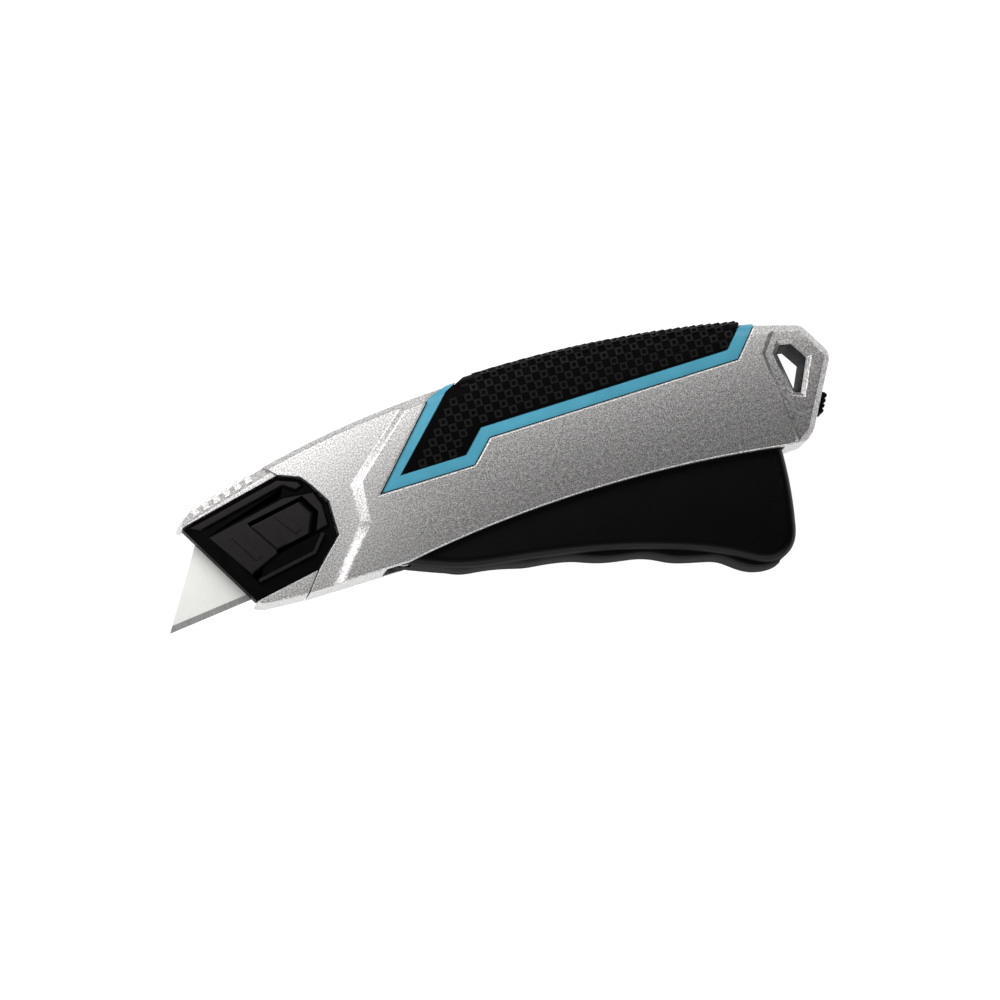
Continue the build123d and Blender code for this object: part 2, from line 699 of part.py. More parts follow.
lever_pocket = [
    (-56.0, 20.0),
    (-56.0, -8.0),
    (-48.0, -8.0),
    (-46.5, -12.8),
    (-38.0, -16.2),
    (-25.0, -18.4),
    (-8.0, -21.8),
    (12.0, -28.2),
    (24.0, -33.3),
    (31.0, -35.0),
    (33.6, -33.0),
    (36.0, -22.0),
    (37.4, -11.0),
    (37.4, 20.0),
]
lock_bar_y = -8.9
lock_bar_height = 1.4
notch_from_pivot = [(91.5, 2.6), (89.9, -0.45), (89.9, -2.5), (92.6, -2.5), (92.6, 2.6)]
link_slot_at = (-0.16, -3.13)

with BuildPart() as finger_strip:
    with BuildSketch(Plane.XY.offset(mid_z - strip_width / 2)):
        with BuildLine():
            Spline(*finger_line, tangents=[(1, -0.5), (1, 0.2)])
            Polyline(finger_line[-1], *strip_root, finger_line[0])
        make_face()
    extrude(amount=strip_width)
    strip_edges = finger_strip.edges().filter_by(GeomType.BSPLINE)
    fillet(strip_edges, radius=strip_round)

with BuildPart() as squeeze_lever:
    with BuildSketch(Plane.XY.offset(lever_low_z)):
        with BuildLine():
            Spline(*crease_line, tangents=[(1, -0.45), (0.24, 0.97)])
            RadiusArc(heel, lever_back_top, -lever_rear_radius)
            Line(lever_back_top, (-50.4, -6.35))
            ThreePointArc((-50.4, -6.35), (-55.2, -10.5), crease_line[0])
        make_face()
    extrude(amount=2 * lever_half_width)
    side_edges = squeeze_lever.edges().filter_by(lambda edge: edge.center().Y < -15)
    fillet(side_edges.filter_by(Axis.Z, reverse=True), radius=side_round)
    add(finger_strip.part)
    with BuildSketch(Plane.XY.offset(lever_low_z + lever_wall)):
        Polygon(*lever_pocket, align=None)
    extrude(amount=2 * (lever_half_width - lever_wall), mode=Mode.SUBTRACT)
    with Locations((*lever_pivot, mid_z)):
        Cylinder(pivot_pin_radius + running_gap, 40, mode=Mode.SUBTRACT)
    with Locations((*lever_pivot, 11.8)):
        Cylinder(3.9, 3.9, mode=Mode.SUBTRACT)
    # slot that takes the rocker's pin
    with BuildSketch(Plane.XY.offset(mid_z + lever_half_width)):
        with Locations(link_slot_at):
            SlotOverall(5.0, 3.0)
    extrude(amount=-2 * lever_wall, mode=Mode.SUBTRACT)
    # notches that the lock slider enters, at the squeezed and at the released place
    with BuildSketch(Plane.XY.offset(mid_z)):
        for turn in (0, lever_swing):
            with Locations(Location(lever_pivot, turn)):
                Polygon(*notch_from_pivot, align=None)
    extrude(amount=3.0, both=True, mode=Mode.SUBTRACT)
save(squeeze_lever, "squeeze_lever")

with BuildPart() as lever_pivot_pin:
    with Locations((*lever_pivot, mid_z)):
        Cylinder(pivot_pin_radius, 15.8)
save(lever_pivot_pin, "lever_pivot_pin")

# ---------------------------------------------------------------- springs
torsion_radius = 3.0
torsion_wire = 0.4
torsion_low_z = 10.4
extension_radius = 1.4
extension_wire = 0.25

with BuildPart() as lever_spring:
    with BuildLine():
        coil = Helix(pitch=0.95, height=2.85, radius=torsion_radius, center=(*lever_pivot, torsion_low_z))
    with BuildSketch(Plane(coil @ 0, z_dir=coil % 0)):
        Circle(torsion_wire)
    sweep(path=coil, is_frenet=True)
save(lever_spring, "lever_spring")

extension_low_s = carriage_rear + 0.6
extension_turns = 26
extension_length = spring_hook_s - 0.6 - extension_low_s
with BuildPart() as carriage_spring:
    spring_plane = Plane(
        origin=blade_plane.from_local_coords(Vector(extension_low_s, 7.0, 7.35)),
        x_dir=blade_plane.y_dir,
        z_dir=blade_plane.x_dir,
    )
    with BuildLine():
        winding = Helix(
            pitch=extension_length / extension_turns,
            height=extension_length,
            radius=extension_radius,
            center=spring_plane.origin,
            direction=spring_plane.z_dir,
        )
    with BuildSketch(Plane(winding @ 0, z_dir=winding % 0)):
        Circle(extension_wire)
    sweep(path=winding, is_frenet=True)
save(carriage_spring, "carriage_spring")

# ---------------------------------------------------------------- tail
with BuildPart() as lanyard_liner:
    with BuildSketch(Plane.XY.offset(nose_low_z)):
        Polygon(*lanyard_rim, align=None)
        offset(amount=-(rim_bevel - liner_wall), kind=Kind.INTERSECTION)
    extrude(amount=nose_thickness)
    with BuildSketch(Plane.XY.offset(nose_low_z)):
        Polygon(*lanyard_rim, align=None)
        offset(amount=-rim_bevel, kind=Kind.INTERSECTION)
    extrude(amount=nose_thickness, mode=Mode.SUBTRACT)
save(lanyard_liner, "lanyard_liner")

tooth_count = 4
tooth_pitch = 1.23
lock_head_height = 1.05
with BuildPart() as lock_slider:
    with BuildSketch(level(rear_plane, mid_z - 4.0)):
        Polygon(
            (lock_middle - 2.45, -0.1),
            (lock_middle - 2.45, -lock_head_height),
            (lock_middle + 2.45, -lock_head_height),
            (lock_middle + 2.45, -0.1),
            align=None,
        )
        for tooth in range(tooth_count):
            tooth_middle = lock_middle + (tooth - (tooth_count - 1) / 2) * tooth_pitch
            with Locations((tooth_middle, -lock_head_height)):
                Polygon((-0.55, 0.1), (-0.25, -0.5), (0.25, -0.5), (0.55, 0.1), align=None)
    extrude(amount=8.0)
    with BuildSketch(level(rear_plane, mid_z - 2.0)):
        Polygon(
            (lock_middle - 1.6, -0.15),
            (lock_middle + 1.2, -0.15),
            (lock_middle + 1.2, lock_plate_depth + 0.05),
            (lock_middle - 1.6, lock_plate_depth + 0.05),
            align=None,
        )
    extrude(amount=4.0)
    with BuildSketch(level(rear_plane, mid_z - 2.7)):
        Polygon(
            (lock_middle - 5.1, lock_plate_depth),
            (lock_middle - 0.7, lock_plate_depth),
            (lock_middle - 0.7, lock_plate_depth + 1.05),
            (lock_middle - 5.1, lock_plate_depth + 1.05),
            align=None,
        )
    extrude(amount=5.4)
    with BuildSketch(Plane.XY.offset(mid_z - 2.2)):
        Polygon(
            (40.95, lock_bar_y - lock_bar_height / 2),
            (47.4, lock_bar_y - lock_bar_height / 2),
            (48.2, lock_bar_y + lock_bar_height / 2),
            (40.95, lock_bar_y + lock_bar_height / 2),
            align=None,
        )
    extrude(amount=4.4)
save(lock_slider, "lock_slider")

# ---------------------------------------------------------------- casing screws
with BuildPart() as casing_screws:
    for x, y in casing_screws_at:
        with Locations((x, y, 1.8)):
            Cylinder(screw_head_radius, 1.2, align=standing)
            Cylinder(screw_radius, 12.3, align=standing)
            Box(2.6, 0.6, 1.2, mode=Mode.SUBTRACT)
            Box(0.6, 2.6, 1.2, mode=Mode.SUBTRACT)
save(casing_screws, "casing_screws")
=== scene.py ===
import math

import bmesh
import bpy
from mathutils import Matrix, Vector
from mathutils.bvhtree import BVHTree


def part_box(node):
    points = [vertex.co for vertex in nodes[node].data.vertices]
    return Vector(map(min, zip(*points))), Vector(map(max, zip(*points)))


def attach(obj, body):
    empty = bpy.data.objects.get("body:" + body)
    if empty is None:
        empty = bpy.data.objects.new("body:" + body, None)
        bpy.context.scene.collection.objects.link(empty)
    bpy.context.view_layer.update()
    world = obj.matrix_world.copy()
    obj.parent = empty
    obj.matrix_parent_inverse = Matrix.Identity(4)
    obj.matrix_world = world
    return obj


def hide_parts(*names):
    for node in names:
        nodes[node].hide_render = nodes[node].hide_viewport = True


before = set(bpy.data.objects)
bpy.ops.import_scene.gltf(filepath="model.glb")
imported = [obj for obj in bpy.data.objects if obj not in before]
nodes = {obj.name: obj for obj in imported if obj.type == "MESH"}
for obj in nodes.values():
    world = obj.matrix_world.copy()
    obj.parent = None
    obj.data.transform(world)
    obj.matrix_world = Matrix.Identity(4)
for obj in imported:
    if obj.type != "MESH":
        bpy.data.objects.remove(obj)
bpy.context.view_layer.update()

# A squeeze-handle utility knife lying on its right side. +X runs to the tail, +Y to the spine and
# +Z up through the thickness, as in the frame. Sizes are in metres, unless a comment says millimetres.
MM = 0.001
# The corners of a square, anticlockwise.
SQUARE = ((-1, -1), (1, -1), (1, 1), (-1, 1))

# ---------------------------------------------------------------- camera
# The left side is seen from above, a little from the nose and from the lever's side. The sensor is in
# millimetres, as Blender has it.
SENSOR = 36.0
CAMERA_DISTANCE = 2.0
CLIP_END = 20.0
VIEW_WIDTH = 229.7 * MM
VIEW_POINT = Vector((-26.78, -6.46, 18.0)) * MM
TOWARDS_CAMERA = Vector((-0.145, -0.095, 1.0)).normalized()
ROLL = 0.3154
PICTURE_UP = Vector((math.sin(ROLL), math.cos(ROLL), 0.0))


def aim(towards, up):
    """The rotation of something at the end of `towards` that looks back, with `up` upwards."""
    side = up.cross(towards).normalized()
    return Matrix((side, towards.cross(side), towards)).transposed().to_4x4()


def make_camera():
    data = bpy.data.cameras.new("camera")
    data.sensor_width = SENSOR
    data.lens = SENSOR * CAMERA_DISTANCE / VIEW_WIDTH
    data.clip_end = CLIP_END
    camera = bpy.data.objects.new("camera", data)
    bpy.context.scene.collection.objects.link(camera)
    place = Matrix.Translation(VIEW_POINT + TOWARDS_CAMERA * CAMERA_DISTANCE)
    camera.matrix_world = place @ aim(TOWARDS_CAMERA, PICTURE_UP)
    bpy.context.scene.camera = camera


# ---------------------------------------------------------------- light
LIGHT_UP = Vector((0.0, 1.0, 0.2))
# The colour sockets of a Mix node: the first colour, the second one and the result.
MIX_FIRST, MIX_SECOND, MIX_RESULT = 6, 7, 2


def softbox(name, place, target, width, height, power):
    """A rectangular lamp at `place` that faces `target` and that the camera doesn't see."""
    data = bpy.data.lights.new(name, "AREA")
    data.shape = "RECTANGLE"
    data.size = width
    data.size_y = height
    data.energy = power
    light = bpy.data.objects.new(name, data)
    bpy.context.scene.collection.objects.link(light)
    light.visible_camera = False
    towards = (Vector(place) - Vector(target)).normalized()
    light.matrix_world = Matrix.Translation(Vector(place)) @ aim(towards, LIGHT_UP)


def dome_part(tree, direction, axis, stops):
    """Shades the surroundings along one axis of the view direction: stops are (component, shade)."""
    ramp = tree.nodes.new("ShaderNodeValToRGB")
    for element, (component, shade) in zip(ramp.color_ramp.elements, stops):
        element.position = 0.5 + component / 2
        element.color = (shade, shade, shade, 1.0)
    halved = tree.nodes.new("ShaderNodeMath")
    halved.operation = "MULTIPLY_ADD"
    halved.inputs[1].default_value = 0.5
    halved.inputs[2].default_value = 0.5
    tree.links.new(direction.outputs[axis], halved.inputs[0])
    tree.links.new(halved.outputs["Value"], ramp.inputs["Fac"])
    return ramp.outputs["Color"]


def make_light():
    """Two near softboxes, two far ones, and surroundings that darken overhead and to the tail."""
    softbox("nose_softbox", (-0.14, 0.078, 0.14), (-0.145, 0.06, 0.018), 0.19, 0.15, 0.106)
    softbox("panel_softbox", (0.013, 0.062, 0.080), (0.013, 0.045, 0.018), 0.28, 0.075, 0.128)
    softbox("front_softbox", (-0.90, -0.05, 0.45), (0.0, 0.0, 0.0), 0.5, 0.4, 1.6)
    softbox("lever_softbox", (0.0, -0.75, 0.35), (0.0, 0.0, 0.0), 1.2, 0.30, 2.2)
    world = bpy.data.worlds.new("studio")
    bpy.context.scene.world = world
    world.use_nodes = True
    tree = world.node_tree
    background = tree.nodes["Background"]
    split = tree.nodes.new("ShaderNodeSeparateXYZ")
    tree.links.new(tree.nodes.new("ShaderNodeTexCoord").outputs["Generated"], split.inputs[0])
    by_height = dome_part(tree, split, "Z", [(0.15, 0.50), (0.95, 0.14)])
    by_length = dome_part(tree, split, "X", [(-0.6, 1.0), (0.5, 0.08)])
    both = tree.nodes.new("ShaderNodeMix")
    both.data_type = "RGBA"
    both.blend_type = "MULTIPLY"
    both.inputs["Factor"].default_value = 1.0
    tree.links.new(by_height, both.inputs[MIX_FIRST])
    tree.links.new(by_length, both.inputs[MIX_SECOND])
    tree.links.new(both.outputs[MIX_RESULT], background.inputs["Color"])
    background.inputs["Strength"].default_value = 1.0
    bpy.context.scene.view_settings.view_transform = "Standard"


# ---------------------------------------------------------------- materials
class Paint:
    """A material with a Principled shader and short ways to add nodes to it."""

    def __init__(self, name, metallic=0.0, roughness=0.5, specular=0.5):
        self.material = bpy.data.materials.new(name)
        self.material.use_nodes = True
        self.tree = self.material.node_tree
        self.shader = self.tree.nodes["Principled BSDF"]
        self.shader.inputs["Metallic"].default_value = metallic
        self.shader.inputs["Roughness"].default_value = roughness
        self.shader.inputs["Specular IOR Level"].default_value = specular
        given = self.tree.nodes.new("ShaderNodeTexCoord")
        self.place = given.outputs["Object"]
        self.facing = given.outputs["Normal"]

    def node(self, kind, **settings):
        made = self.tree.nodes.new(kind)
        for key, value in settings.items():
            setattr(made, key, value)
        return made

    def link(self, source, target):
        self.tree.links.new(source, target)

    def stretched(self, scale, turn):
        """Object coordinates, scaled and then turned about Z."""
        mapping = self.node("ShaderNodeMapping")
        mapping.inputs["Rotation"].default_value = (0.0, 0.0, turn)
        mapping.inputs["Scale"].default_value = scale
        self.link(self.place, mapping.inputs["Vector"])
        return mapping.outputs["Vector"]

    def noise(self, grain, detail=2.0, place=None, rough=0.5):
        """Noise whose features are about `grain` metres across."""
        made = self.node("ShaderNodeTexNoise")
        made.inputs["Scale"].default_value = 1.0 / grain
        made.inputs["Detail"].default_value = detail
        made.inputs["Roughness"].default_value = rough
        self.link(place or self.place, made.inputs["Vector"])
        return made.outputs["Fac"]

    def ramp(self, value, stops):
        """Turns a value into colours or shades: stops are (position, colour or shade)."""
        made = self.node("ShaderNodeValToRGB")
        while len(made.color_ramp.elements) < len(stops):
            made.color_ramp.elements.new(0.5)
        for element, (position, colour) in zip(made.color_ramp.elements, stops):
            element.position = position
            if isinstance(colour, float):
                colour = (colour, colour, colour)
            element.color = (*colour, 1.0)
        self.link(value, made.inputs["Fac"])
        return made.outputs["Color"]

    def mix(self, factor, first, second):
        """The first colour or shade where the factor is 0, the second where it is 1."""
        made = self.node("ShaderNodeMix", data_type="RGBA")
        self.link(factor, made.inputs["Factor"])
        self.link(first, made.inputs[MIX_FIRST])
        self.link(second, made.inputs[MIX_SECOND])
        return made.outputs[MIX_RESULT]

    def z_part(self, vector):
        """The Z component of a vector."""
        made = self.node("ShaderNodeSeparateXYZ")
        self.link(vector, made.inputs[0])
        return made.outputs["Z"]

    def maths(self, operation, value, *numbers):
        """One step of arithmetic on a value, with constants for its other inputs."""
        made = self.node("ShaderNodeMath", operation=operation)
        self.link(value, made.inputs[0])
        for socket, number in zip(made.inputs[1:], numbers):
            socket.default_value = number
        return made.outputs["Value"]

    def colour(self, output):
        self.link(output, self.shader.inputs["Base Color"])

    def roughness(self, output):
        self.link(output, self.shader.inputs["Roughness"])

    def bump(self, height, depth, strength):
        """Bump from a 0..1 height, `depth` metres deep."""
        made = self.node("ShaderNodeBump")
        made.inputs["Strength"].default_value = strength
        made.inputs["Distance"].default_value = depth
        self.link(height, made.inputs["Height"])
        self.link(made.outputs["Normal"], self.shader.inputs["Normal"])


def silver_lacquer():
    """Metallic lacquer with fine light and dark flakes."""
    paint = Paint("silver_lacquer", metallic=0.9, roughness=0.36)
    flakes = paint.noise(0.34 * MM, rough=0.6)
    shades = [(0.34, (0.30, 0.295, 0.29)), (0.50, (0.60, 0.59, 0.585)), (0.66, (0.92, 0.905, 0.90))]
    paint.colour(paint.ramp(flakes, shades))
    paint.roughness(paint.ramp(paint.noise(0.9 * MM), [(0.3, 0.30), (0.7, 0.40)]))
    paint.bump(flakes, 0.008 * MM, 0.4)
    return paint.material


def blue_moulding():
    paint = Paint("blue_moulding", roughness=0.38)
    shades = [(0.3, (0.051, 0.295, 0.420)), (0.7, (0.062, 0.345, 0.480))]
    paint.colour(paint.ramp(paint.noise(6 * MM), shades))
    grain = paint.noise(0.15 * MM)
    paint.roughness(paint.ramp(grain, [(0.3, 0.34), (0.7, 0.46)]))
    paint.bump(grain, 0.006 * MM, 0.4)
    return paint.material


def black_rubber(name, shade, specular):
    """Rubber whose shade wanders a little round the one that is given."""
    paint = Paint(name, roughness=0.5, specular=specular)
    paint.colour(paint.ramp(paint.noise(3 * MM), [(0.3, shade * 0.8), (0.7, shade * 1.25)]))
    grain = paint.noise(0.12 * MM, detail=4.0)
    paint.roughness(paint.ramp(grain, [(0.3, 0.38), (0.7, 0.56)]))
    paint.bump(grain, 0.010 * MM, 0.5)
    return paint.material


# The middle plane of the knife, and how far from it the cover's low and high fields lie.
MIDDLE_Z = 9.0 * MM
RELIEF_LOW = 6.35 * MM
RELIEF_HIGH = 6.75 * MM


def cover_plastic():
    """Matt black with painted shade in the low fields of the relief, and a lighter, warmer satin with
    painted light and wear on its high ones.
    """
    paint = Paint("cover_plastic", roughness=0.45, specular=0.3)
    height = paint.maths("ABSOLUTE", paint.maths("SUBTRACT", paint.z_part(paint.place), MIDDLE_Z))
    spread = paint.node("ShaderNodeMapRange")
    spread.inputs["From Min"].default_value = RELIEF_LOW
    spread.inputs["From Max"].default_value = RELIEF_HIGH
    paint.link(height, spread.inputs["Value"])
    raised = spread.outputs["Result"]
    # The high fields are lighter and warmer: partly wear, partly painted light on the raised tops.
    worn_and_lit_shades = [(0.3, (0.0048, 0.0037, 0.0035)), (0.7, (0.0085, 0.0065, 0.0061))]
    worn_and_lit = paint.ramp(paint.noise(1.1 * MM, detail=5.0), worn_and_lit_shades)
    # The low fields are darker: painted shade in the recesses.
    low = paint.ramp(paint.noise(2 * MM), [(0.3, 0.0016), (0.7, 0.0026)])
    paint.colour(paint.mix(raised, low, worn_and_lit))
    sheen = paint.ramp(raised, [(0.2, 0.03), (0.8, 0.20)])
    paint.link(sheen, paint.shader.inputs["Specular IOR Level"])
    grain = paint.noise(0.14 * MM, detail=3.0)
    paint.roughness(paint.ramp(grain, [(0.3, 0.38), (0.7, 0.52)]))
    paint.bump(grain, 0.010 * MM, 0.4)
    return paint.material


def lever_plastic():
    """Satin black on the broad sides, matt on the narrow edges between them."""
    paint = Paint("lever_plastic", roughness=0.4, specular=0.2)
    paint.colour(paint.ramp(paint.noise(8 * MM), [(0.3, 0.0008), (0.7, 0.0015)]))
    grain = paint.noise(0.20 * MM, detail=3.0)
    sideways = paint.maths("ABSOLUTE", paint.z_part(paint.facing))
    broad = paint.ramp(sideways, [(0.15, 0.0), (0.5, 1.0)])
    matt = paint.ramp(grain, [(0.3, 0.84), (0.7, 0.94)])
    satin = paint.ramp(grain, [(0.3, 0.34), (0.7, 0.44)])
    paint.roughness(paint.mix(broad, matt, satin))
    paint.bump(grain, 0.008 * MM, 0.4)
    return paint.material


def smooth_sleeve():
    paint = Paint("smooth_sleeve", roughness=0.6, specular=0.05)
    shades = [(0.3, (0.004, 0.006, 0.009)), (0.7, (0.008, 0.011, 0.016))]
    paint.colour(paint.ramp(paint.noise(2 * MM), shades))
    paint.roughness(paint.ramp(paint.noise(0.8 * MM), [(0.3, 0.50), (0.7, 0.66)]))
    return paint.material


BLADE_TIP = Vector((-107.8, -12.5, 9.0)) * MM
BLADE_TURN = math.radians(5.6)
ACROSS_BLADE = Vector((-math.sin(BLADE_TURN), math.cos(BLADE_TURN), 0.0))
GROUND_WIDTH = 1.45 * MM
# How often the noise of the grinding lines changes in a metre, across the lines and along them.
LINES_ACROSS = 9000.0
LINES_ALONG = 500.0


def blade_steel():
    """Satin flat, a greyer ground strip along the cutting edge, and fine grinding lines across both."""
    paint = Paint("blade_steel", metallic=0.25, roughness=0.4)
    across = paint.node("ShaderNodeVectorMath", operation="DOT_PRODUCT")
    across.inputs[1].default_value = ACROSS_BLADE
    paint.link(paint.place, across.inputs[0])
    ground_end = BLADE_TIP.dot(ACROSS_BLADE) + GROUND_WIDTH
    ground = paint.maths("LESS_THAN", across.outputs["Value"], ground_end)
    line_place = paint.stretched((LINES_ACROSS, LINES_ALONG, LINES_ALONG), -BLADE_TURN)
    lines = paint.noise(1.0, place=line_place, detail=3.0)
    flat = paint.ramp(lines, [(0.3, (0.92, 0.92, 0.885)), (0.7, (1.0, 1.0, 0.965))])
    strip = paint.ramp(lines, [(0.3, (0.30, 0.30, 0.29)), (0.7, (0.52, 0.52, 0.51))])
    paint.colour(paint.mix(ground, flat, strip))
    paint.roughness(paint.ramp(lines, [(0.3, 0.34), (0.7, 0.50)]))
    paint.bump(lines, 0.004 * MM, 0.4)
    return paint.material


def plain_steel(name, shade, roughness, grain):
    """Bare steel whose shade and polish wander a little round the ones that are given."""
    paint = Paint(name, metallic=1.0, roughness=roughness)
    fine = paint.noise(grain, detail=3.0)
    paint.colour(paint.ramp(fine, [(0.3, shade * 0.85), (0.7, shade * 1.1)]))
    paint.roughness(paint.ramp(fine, [(0.3, roughness - 0.06), (0.7, roughness + 0.08)]))
    paint.bump(fine, 0.004 * MM, 0.4)
    return paint.material


# ---------------------------------------------------------------- floor
FLOOR_HALF = 3.0
FLOOR_GAP = 0.2 * MM
FLOOR_GLOW = 0.94


def make_floor():
    """A white floor that is mostly its own light, like a light table."""
    mesh = bpy.data.meshes.new("floor")
    corners = [(x * FLOOR_HALF, y * FLOOR_HALF, 0.0) for x, y in SQUARE]
    mesh.from_pydata(corners, [], [(0, 1, 2, 3)])
    floor = bpy.data.objects.new("floor", mesh)
    bpy.context.scene.collection.objects.link(floor)
    floor.location.z = -FLOOR_GAP
    paint = Paint("pale_floor", roughness=0.9, specular=0.1)
    paint.colour(paint.ramp(paint.noise(0.4), [(0.3, 0.30), (0.7, 0.32)]))
    paint.shader.inputs["Emission Color"].default_value = (1.0, 1.0, 1.0, 1.0)
    paint.shader.inputs["Emission Strength"].default_value = FLOOR_GLOW
    mesh.materials.append(paint.material)


def give(material, *names):
    """Puts a material on CAD nodes that are shown as they are."""
    for name in names:
        data = nodes[name].data
        data.materials.clear()
        data.materials.append(material)


# ---------------------------------------------------------------- pieces made from the CAD nodes
# Corners nearer than WELD are joined, and faces that meet under the angle FLAT become one. Edges over
# SHARP are rounded in EDGE_STEPS, and what is over CREASE after that still shades as a corner.
WELD = 0.002 * MM
SHORTEST_EDGE = 0.001 * MM
FLAT = math.radians(0.3)
SHARP = math.radians(24)
CREASE = math.radians(28)
EDGE_STEPS = 2
# The weighted normals follow the larger faces: 50 would be neutral and 100 is the most.
FACE_WEIGHT = 100


def add_piece(name, body, build, material):
    """A new piece from a bmesh, riding on a body and taking a material slot."""
    mesh = bpy.data.meshes.new(name)
    build.to_mesh(mesh)
    build.free()
    mesh.materials.append(material)
    piece = bpy.data.objects.new(name, mesh)
    bpy.context.scene.collection.objects.link(piece)
    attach(piece, body)
    return piece


def copied(name):
    """The node's mesh as a bmesh, with its split corners welded and its flat faces whole."""
    build = bmesh.new()
    build.from_mesh(nodes[name].data)
    bmesh.ops.remove_doubles(build, verts=build.verts, dist=WELD)
    bmesh.ops.dissolve_degenerate(build, edges=build.edges, dist=SHORTEST_EDGE)
    bmesh.ops.dissolve_limit(build, angle_limit=FLAT, verts=build.verts, edges=build.edges)
    return build


def smooth(build):
    """Shades the mesh smooth except across its creases."""
    for face in build.faces:
        face.smooth = True
    for edge in build.edges:
        edge.smooth = len(edge.link_faces) == 2 and edge.calc_face_angle(0.0) < CREASE


def softened(name, body, material, width):
    """Stands for a CAD node, with its sharp edges rounded as a cast or moulded piece has them."""
    build = copied(name)
    sharp = [e for e in build.edges if len(e.link_faces) == 2 and e.calc_face_angle(0.0) > SHARP]
    bmesh.ops.bevel(
        build,
        geom=sharp,
        offset=width,
        offset_type="WIDTH",
        segments=EDGE_STEPS,
        profile=0.5,
        affect="EDGES",
        clamp_overlap=False,
        harden_normals=False,
    )
    smooth(build)
    piece = add_piece(name + "_shell", body, build, material)
    flatten = piece.modifiers.new("flat_faces", "WEIGHTED_NORMAL")
    flatten.weight = FACE_WEIGHT
    flatten.keep_sharp = True
    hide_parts(name)


# ---------------------------------------------------------------- grip
# The pad's outline on the side and the foot of the stripe round it, in millimetres. The outline runs on
# above the spine, where the pad goes over to the other side.
PAD_OUTLINE = [
    (-20.9, 32.0),
    (-20.9, 26.0),
    (-31.0, 21.2),
    (-47.0, 5.75),
    (-30.9, 5.75),
    (-25.7, 10.8),
    (34.6, 11.1),
    (39.6, 16.4),
    (39.6, 32.0),
]
STRIPE_FOOT = [(-35.9, 20.2), (-52.7, 2.95), (-29.8, 2.95), (-24.5, 8.0), (36.2, 8.3), (41.8, 14.4)]
# In millimetres: the height of the handle's flat side, the radius at which the pad turns over to the
# spine, and where the spine is taken to be when a ray doesn't meet the pad.
SIDE_Z = 18.0
SPINE_ROUND = 4.5
NO_SPINE = 60.0
# The lattice of square rings on the pad, in millimetres: its two steps, where it starts, how many steps
# it goes each way, and how near a ring's middle comes to the outline, the pad's ends and the middle plane.
RING_STEPS = (Vector((-1.87, -1.90)), Vector((1.80, -1.90)))
RING_START = Vector((3.0, 14.6))
RING_REACH = 34
RING_MARGIN = 1.15
END_MARGIN = 1.0
MIDDLE_MARGIN = 0.3
# A ring's section from outside to inside, in millimetres: half its width, and its height on the pad.
RING_SECTION = [(0.98, -0.10), (0.90, 0.24), (0.46, 0.24), (0.40, -0.10)]
# How far the pad's surface is lowered, with the rings on it, and where the rays down to the spine start.
PAD_DROP = 0.30 * MM
ABOVE_SPINE = 50.0 * MM


def edge_distance(point, outline):
    """Distance to the nearest side of a closed outline, less than nothing outside it."""
    nearest = math.inf
    inside = False
    for start, end in zip(outline, outline[1:] + outline[:1]):
        a, b = Vector(start), Vector(end)
        along = max(0.0, min(1.0, (point - a).dot(b - a) / (b - a).length_squared))
        nearest = min(nearest, (a.lerp(b, along) - point).length)
        if (a.y > point.y) != (b.y > point.y):
            crossing = a.x + (b.x - a.x) * (point.y - a.y) / (b.y - a.y)
            if point.x < crossing:
                inside = not inside
    return nearest if inside else -nearest


def pad_spot(x, rise, top, side_z):
    """A place on half of the pad and its outward direction: `rise` goes up the side and over the spine."""
    beyond = rise - (top - SPINE_ROUND)
    turn = SPINE_ROUND * math.pi / 2
    if beyond <= 0.0:
        return Vector((x, rise, side_z)), Vector((0.0, 0.0, 1.0))
    if beyond < turn:
        angle = beyond / SPINE_ROUND
        out = Vector((0.0, math.sin(angle), math.cos(angle)))
        return Vector((x, top - SPINE_ROUND, side_z - SPINE_ROUND)) + out * SPINE_ROUND, out
    return Vector((x, top, side_z - SPINE_ROUND - (beyond - turn))), Vector((0.0, 1.0, 0.0))


def add_ring(build, centre, top, side_z, mirrored):
    """One square ring, laid on the pad as `pad_spot` has it."""
    rows = []
    for half, lift in RING_SECTION:
        row = []
        for across, up in SQUARE:
            place, out = pad_spot(centre.x + across * half, centre.y + up * half, top, side_z)
            place = (place + out * lift) * MM - out * PAD_DROP
            if mirrored:
                place.z = 2 * MIDDLE_Z - place.z
            row.append(build.verts.new(place))
        rows.append(row)
    for outer, inner in zip(rows, rows[1:]):
        for k in range(len(SQUARE)):
            corners = [outer[k - 1], outer[k], inner[k], inner[k - 1]]
            build.faces.new(corners[::-1] if mirrored else corners)


def make_grip(ring_material, pad_shade_material):
    """The pad, lowered a little, and the rings on both sides of it and over its spine."""
    low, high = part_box("grip_pad")
    tree = BVHTree.FromObject(nodes["grip_pad"], bpy.context.evaluated_depsgraph_get())
    side_z = high.z / MM
    rings = bmesh.new()
    for i in range(-RING_REACH, RING_REACH):
        for j in range(-RING_REACH, RING_REACH):
            centre = RING_START + RING_STEPS[0] * i + RING_STEPS[1] * j
            if not low.x / MM + END_MARGIN < centre.x < high.x / MM - END_MARGIN or centre.y < low.y / MM:
                continue
            above = Vector((centre.x * MM, ABOVE_SPINE, MIDDLE_Z))
            hit = tree.ray_cast(above, Vector((0.0, -1.0, 0.0)))[0]
            top = hit.y / MM if hit else NO_SPINE
            place = pad_spot(centre.x, centre.y, top, side_z)[0]
            if place.z < MIDDLE_Z / MM + MIDDLE_MARGIN:
                continue
            if edge_distance(place.xy, PAD_OUTLINE) < RING_MARGIN:
                continue
            for mirrored in (False, True):
                add_ring(rings, centre, top, side_z, mirrored)
    add_piece("grip_rings", "handle", rings, ring_material)
    pad = copied("grip_pad")
    pad.normal_update()
    for vert in pad.verts:
        vert.co -= vert.normal * PAD_DROP
    smooth(pad)
    # The pad between the rings takes the darker rubber: painted shade in the hollows.
    piece = add_piece("grip_pad_shell", "handle", pad, pad_shade_material)
    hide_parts("grip_pad")


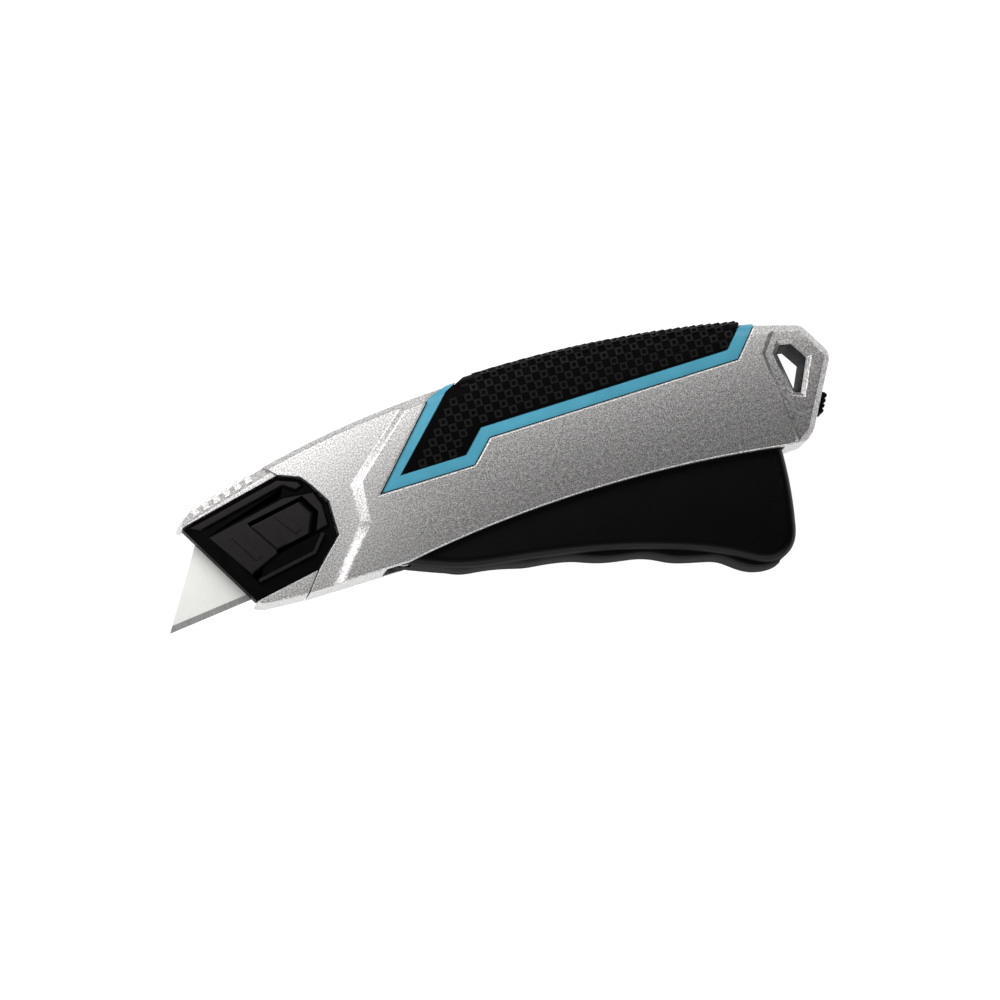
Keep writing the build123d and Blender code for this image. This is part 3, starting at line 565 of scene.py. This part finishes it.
def add_ribbon(name, edges, material):
    """A thin ribbon on each side along the foot of the stripe: edges are (distance out, height) in mm."""
    build = bmesh.new()
    points = [Vector(p) for p in STRIPE_FOOT]
    runs = [(end - start).normalized() for start, end in zip(points, points[1:])]
    for mirrored in (False, True):
        row = []
        for point, before, after in zip(points, runs[:1] + runs, runs + runs[-1:]):
            along = (before + after).normalized()
            out = Vector((along.y, -along.x))
            mitre = 1.0 / out.dot(Vector((before.y, -before.x)))
            pair = []
            for distance, height in edges:
                spread = point + out * distance * mitre
                z = -height if mirrored else SIDE_Z + height
                pair.append(build.verts.new(Vector((spread.x, spread.y, z)) * MM))
            row.append(pair)
        for first, second in zip(row, row[1:]):
            corners = [first[0], first[1], second[1], second[0]]
            build.faces.new(corners[::-1] if mirrored else corners)
    add_piece(name, "handle", build, material)


# ---------------------------------------------------------------- the scene
# The width of the rounding along sharp edges.
CASING_EDGE = 0.22 * MM
NOSE_EDGE = 0.12 * MM
COVER_EDGE = 0.10 * MM

make_camera()
make_light()
make_floor()

silver = silver_lacquer()
softened("left_casing", "handle", silver, CASING_EDGE)
softened("right_casing", "handle", silver, CASING_EDGE)
softened("thumb_rest", "handle", silver, NOSE_EDGE)
softened("chin_guard", "handle", silver, NOSE_EDGE)
give(blue_moulding(), "grip_carrier")
raised_rubber = black_rubber("raised_rubber", 0.0045, 0.12)
# A darker, duller copy of the same rubber: painted shade for the hollows between the pad's rings and for
# the gap round the stripe.
shaded_rubber = black_rubber("shaded_rubber", 0.0008, 0.03)
give(raised_rubber, "end_bumper")
make_grip(raised_rubber, shaded_rubber)
# A dark ribbon of painted shade in the gap round the stripe, and the casing's rolled edge beside it.
add_ribbon("stripe_gap_shade", [(-0.16, 0.02), (0.08, 0.02)], shaded_rubber)
add_ribbon("stripe_rim", [(0.06, -0.07), (0.42, 0.04)], silver)
cover_black = cover_plastic()
give(cover_black, "right_blade_cover")
softened("left_blade_cover", "cover", cover_black, COVER_EDGE)
softened("cover_latch", "latch", cover_black, COVER_EDGE)
give(lever_plastic(), "squeeze_lever", "lock_slider")
give(smooth_sleeve(), "lanyard_liner")
give(blade_steel(), "cutting_blade")
pressed = plain_steel("pressed_steel", 0.5, 0.38, 0.6 * MM)
give(pressed, "carriage_track", "drive_rocker", "blade_carriage")
turned = plain_steel("turned_steel", 0.6, 0.28, 0.3 * MM)
give(turned, "nose_pins", "drive_pin", "lever_link_pin", "rocker_stud", "lever_pivot_pin", "blade_magnet")
give(turned, "track_screws", "casing_screws")
give(plain_steel("spring_wire", 0.42, 0.3, 0.3 * MM), "lever_spring", "carriage_spring")
